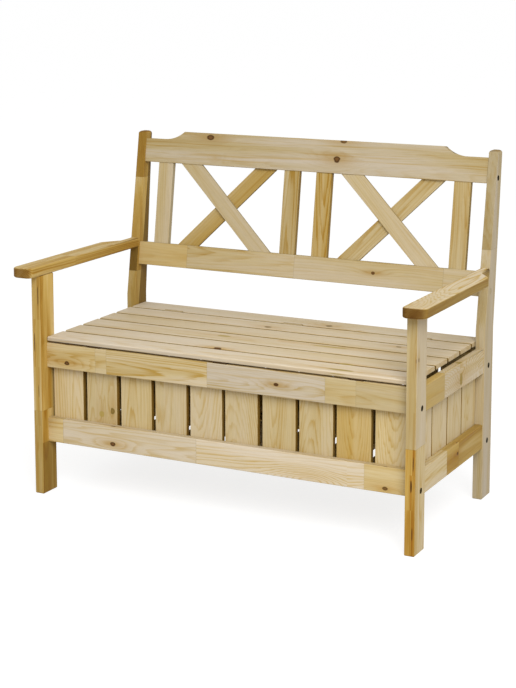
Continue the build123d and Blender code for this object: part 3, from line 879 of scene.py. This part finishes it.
plainLooks = {
    "boltSteel": {
        "dark": colour(0.006, 0.005, 0.004), "light": colour(0.018, 0.015, 0.012), "metallic": 0.0,
        "roughness": (0.6, 0.8), "scale": (900, 900, 900), "bump": 0.1, "shine": 0.04,
        "nodes": ("frame_bolts",),
    },
    "zincSteel": {
        "dark": colour(0.34, 0.25, 0.12), "light": colour(0.46, 0.36, 0.20), "metallic": 0.3,
        "roughness": (0.45, 0.65), "scale": (400, 400, 400), "bump": 0.06, "shine": 0.4,
        "nodes": ("barrel_nuts", "hinge_leaves_frame", "hinge_leaves_lid", "hinge_pins", "lid_screws"),
    },
    "padRubber": {
        "dark": colour(0.045, 0.024, 0.008), "light": colour(0.075, 0.042, 0.015), "metallic": 0.0,
        "roughness": (0.65, 0.85), "scale": (1200, 1200, 1200), "bump": 0.2, "shine": 0.1,
        "nodes": ("seat_pads",),
    },
    "beech": {
        "dark": colour(0.42, 0.27, 0.15), "light": colour(0.58, 0.42, 0.26), "metallic": 0.0,
        "roughness": (0.5, 0.7), "scale": (60, 900, 900), "bump": 0.1, "shine": 0.3,
        "nodes": ("dowels",),
    },
}
for name, look in plainLooks.items():
    finish = mottledMaterial(name, look)
    for node in look["nodes"]:
        frame["nodes"][node].data.materials.clear()
        frame["nodes"][node].data.materials.append(finish)
print("metal, rubber and dowels finished")


# Pale floor, soft light and a white surround
studioLook = {
    "white": colour(1.0, 1.0, 1.0),
    "floorSize": 60.0,
    "floorColour": colour(0.62, 0.60, 0.57),
    "floorGlow": 0.8,           # white that shadows leave alone
    "floorPaper": colour(0.33, 0.33, 0.33),     # takes the shadow that the camera sees
    "sky": 0.6,                 # light from all round
    "lamps": (
        {"name": "frontSoftbox", "place": (2.6, -3.4, 3.4), "size": 3.2, "power": 200.0},
    ),
    "aim": (0.0, 0.0, 0.45),
}


def seenDirectly(tree):
    path = addNode(tree, "LightPath", {}).outputs
    seen = maths(tree, "MAXIMUM", path["Is Camera Ray"], path["Is Glossy Ray"])
    return maths(tree, "MAXIMUM", seen, path["Is Transmission Ray"])


def layFloor(look):
    shape = bmesh.new()
    bmesh.ops.create_grid(shape, x_segments=1, y_segments=1, size=look["floorSize"])
    mesh = bpy.data.meshes.new("floor")
    shape.to_mesh(mesh)
    shape.free()
    material, tree, shader = newMaterial("paleFloor")
    output = tree.nodes["Material Output"]
    matt = addNode(tree, "BsdfDiffuse", {"Color": look["floorColour"]}).outputs[0]
    paper = addNode(tree, "BsdfDiffuse", {"Color": look["floorPaper"]}).outputs[0]
    glow = addNode(tree, "Emission", {"Color": look["white"], "Strength": look["floorGlow"]}).outputs[0]
    bright = addNode(tree, "AddShader", {0: paper, 1: glow}).outputs[0]
    both = addNode(tree, "MixShader", {0: seenDirectly(tree), 1: matt, 2: bright}).outputs[0]
    tree.links.new(both, output.inputs["Surface"])
    tree.nodes.remove(shader)
    mesh.materials.append(material)
    floor = bpy.data.objects.new("floor", mesh)
    scene.collection.objects.link(floor)


def lightStudio(look):
    world = bpy.data.worlds.new("studio")
    world.use_nodes = True
    scene.world = world
    tree = world.node_tree
    sky = tree.nodes["Background"]
    setSockets(tree, sky, {
        "Color": look["white"],
        "Strength": ease(tree, seenDirectly(tree), 0.0, 1.0, look["sky"], 1.0),
    })
    for lampLook in look["lamps"]:
        lamp = bpy.data.lights.new(lampLook["name"], "AREA")
        lamp.shape = "DISK"
        lamp.size = lampLook["size"]
        lamp.energy = lampLook["power"]
        holder = bpy.data.objects.new(lampLook["name"], lamp)
        holder.location = lampLook["place"]
        aim = Vector(look["aim"]) - holder.location
        holder.rotation_euler = aim.to_track_quat("-Z", "Y").to_euler()
        scene.collection.objects.link(holder)
    scene.view_settings.view_transform = "Standard"


placeCamera(cameraLook)
layFloor(studioLook)
lightStudio(studioLook)
print("studio ready")
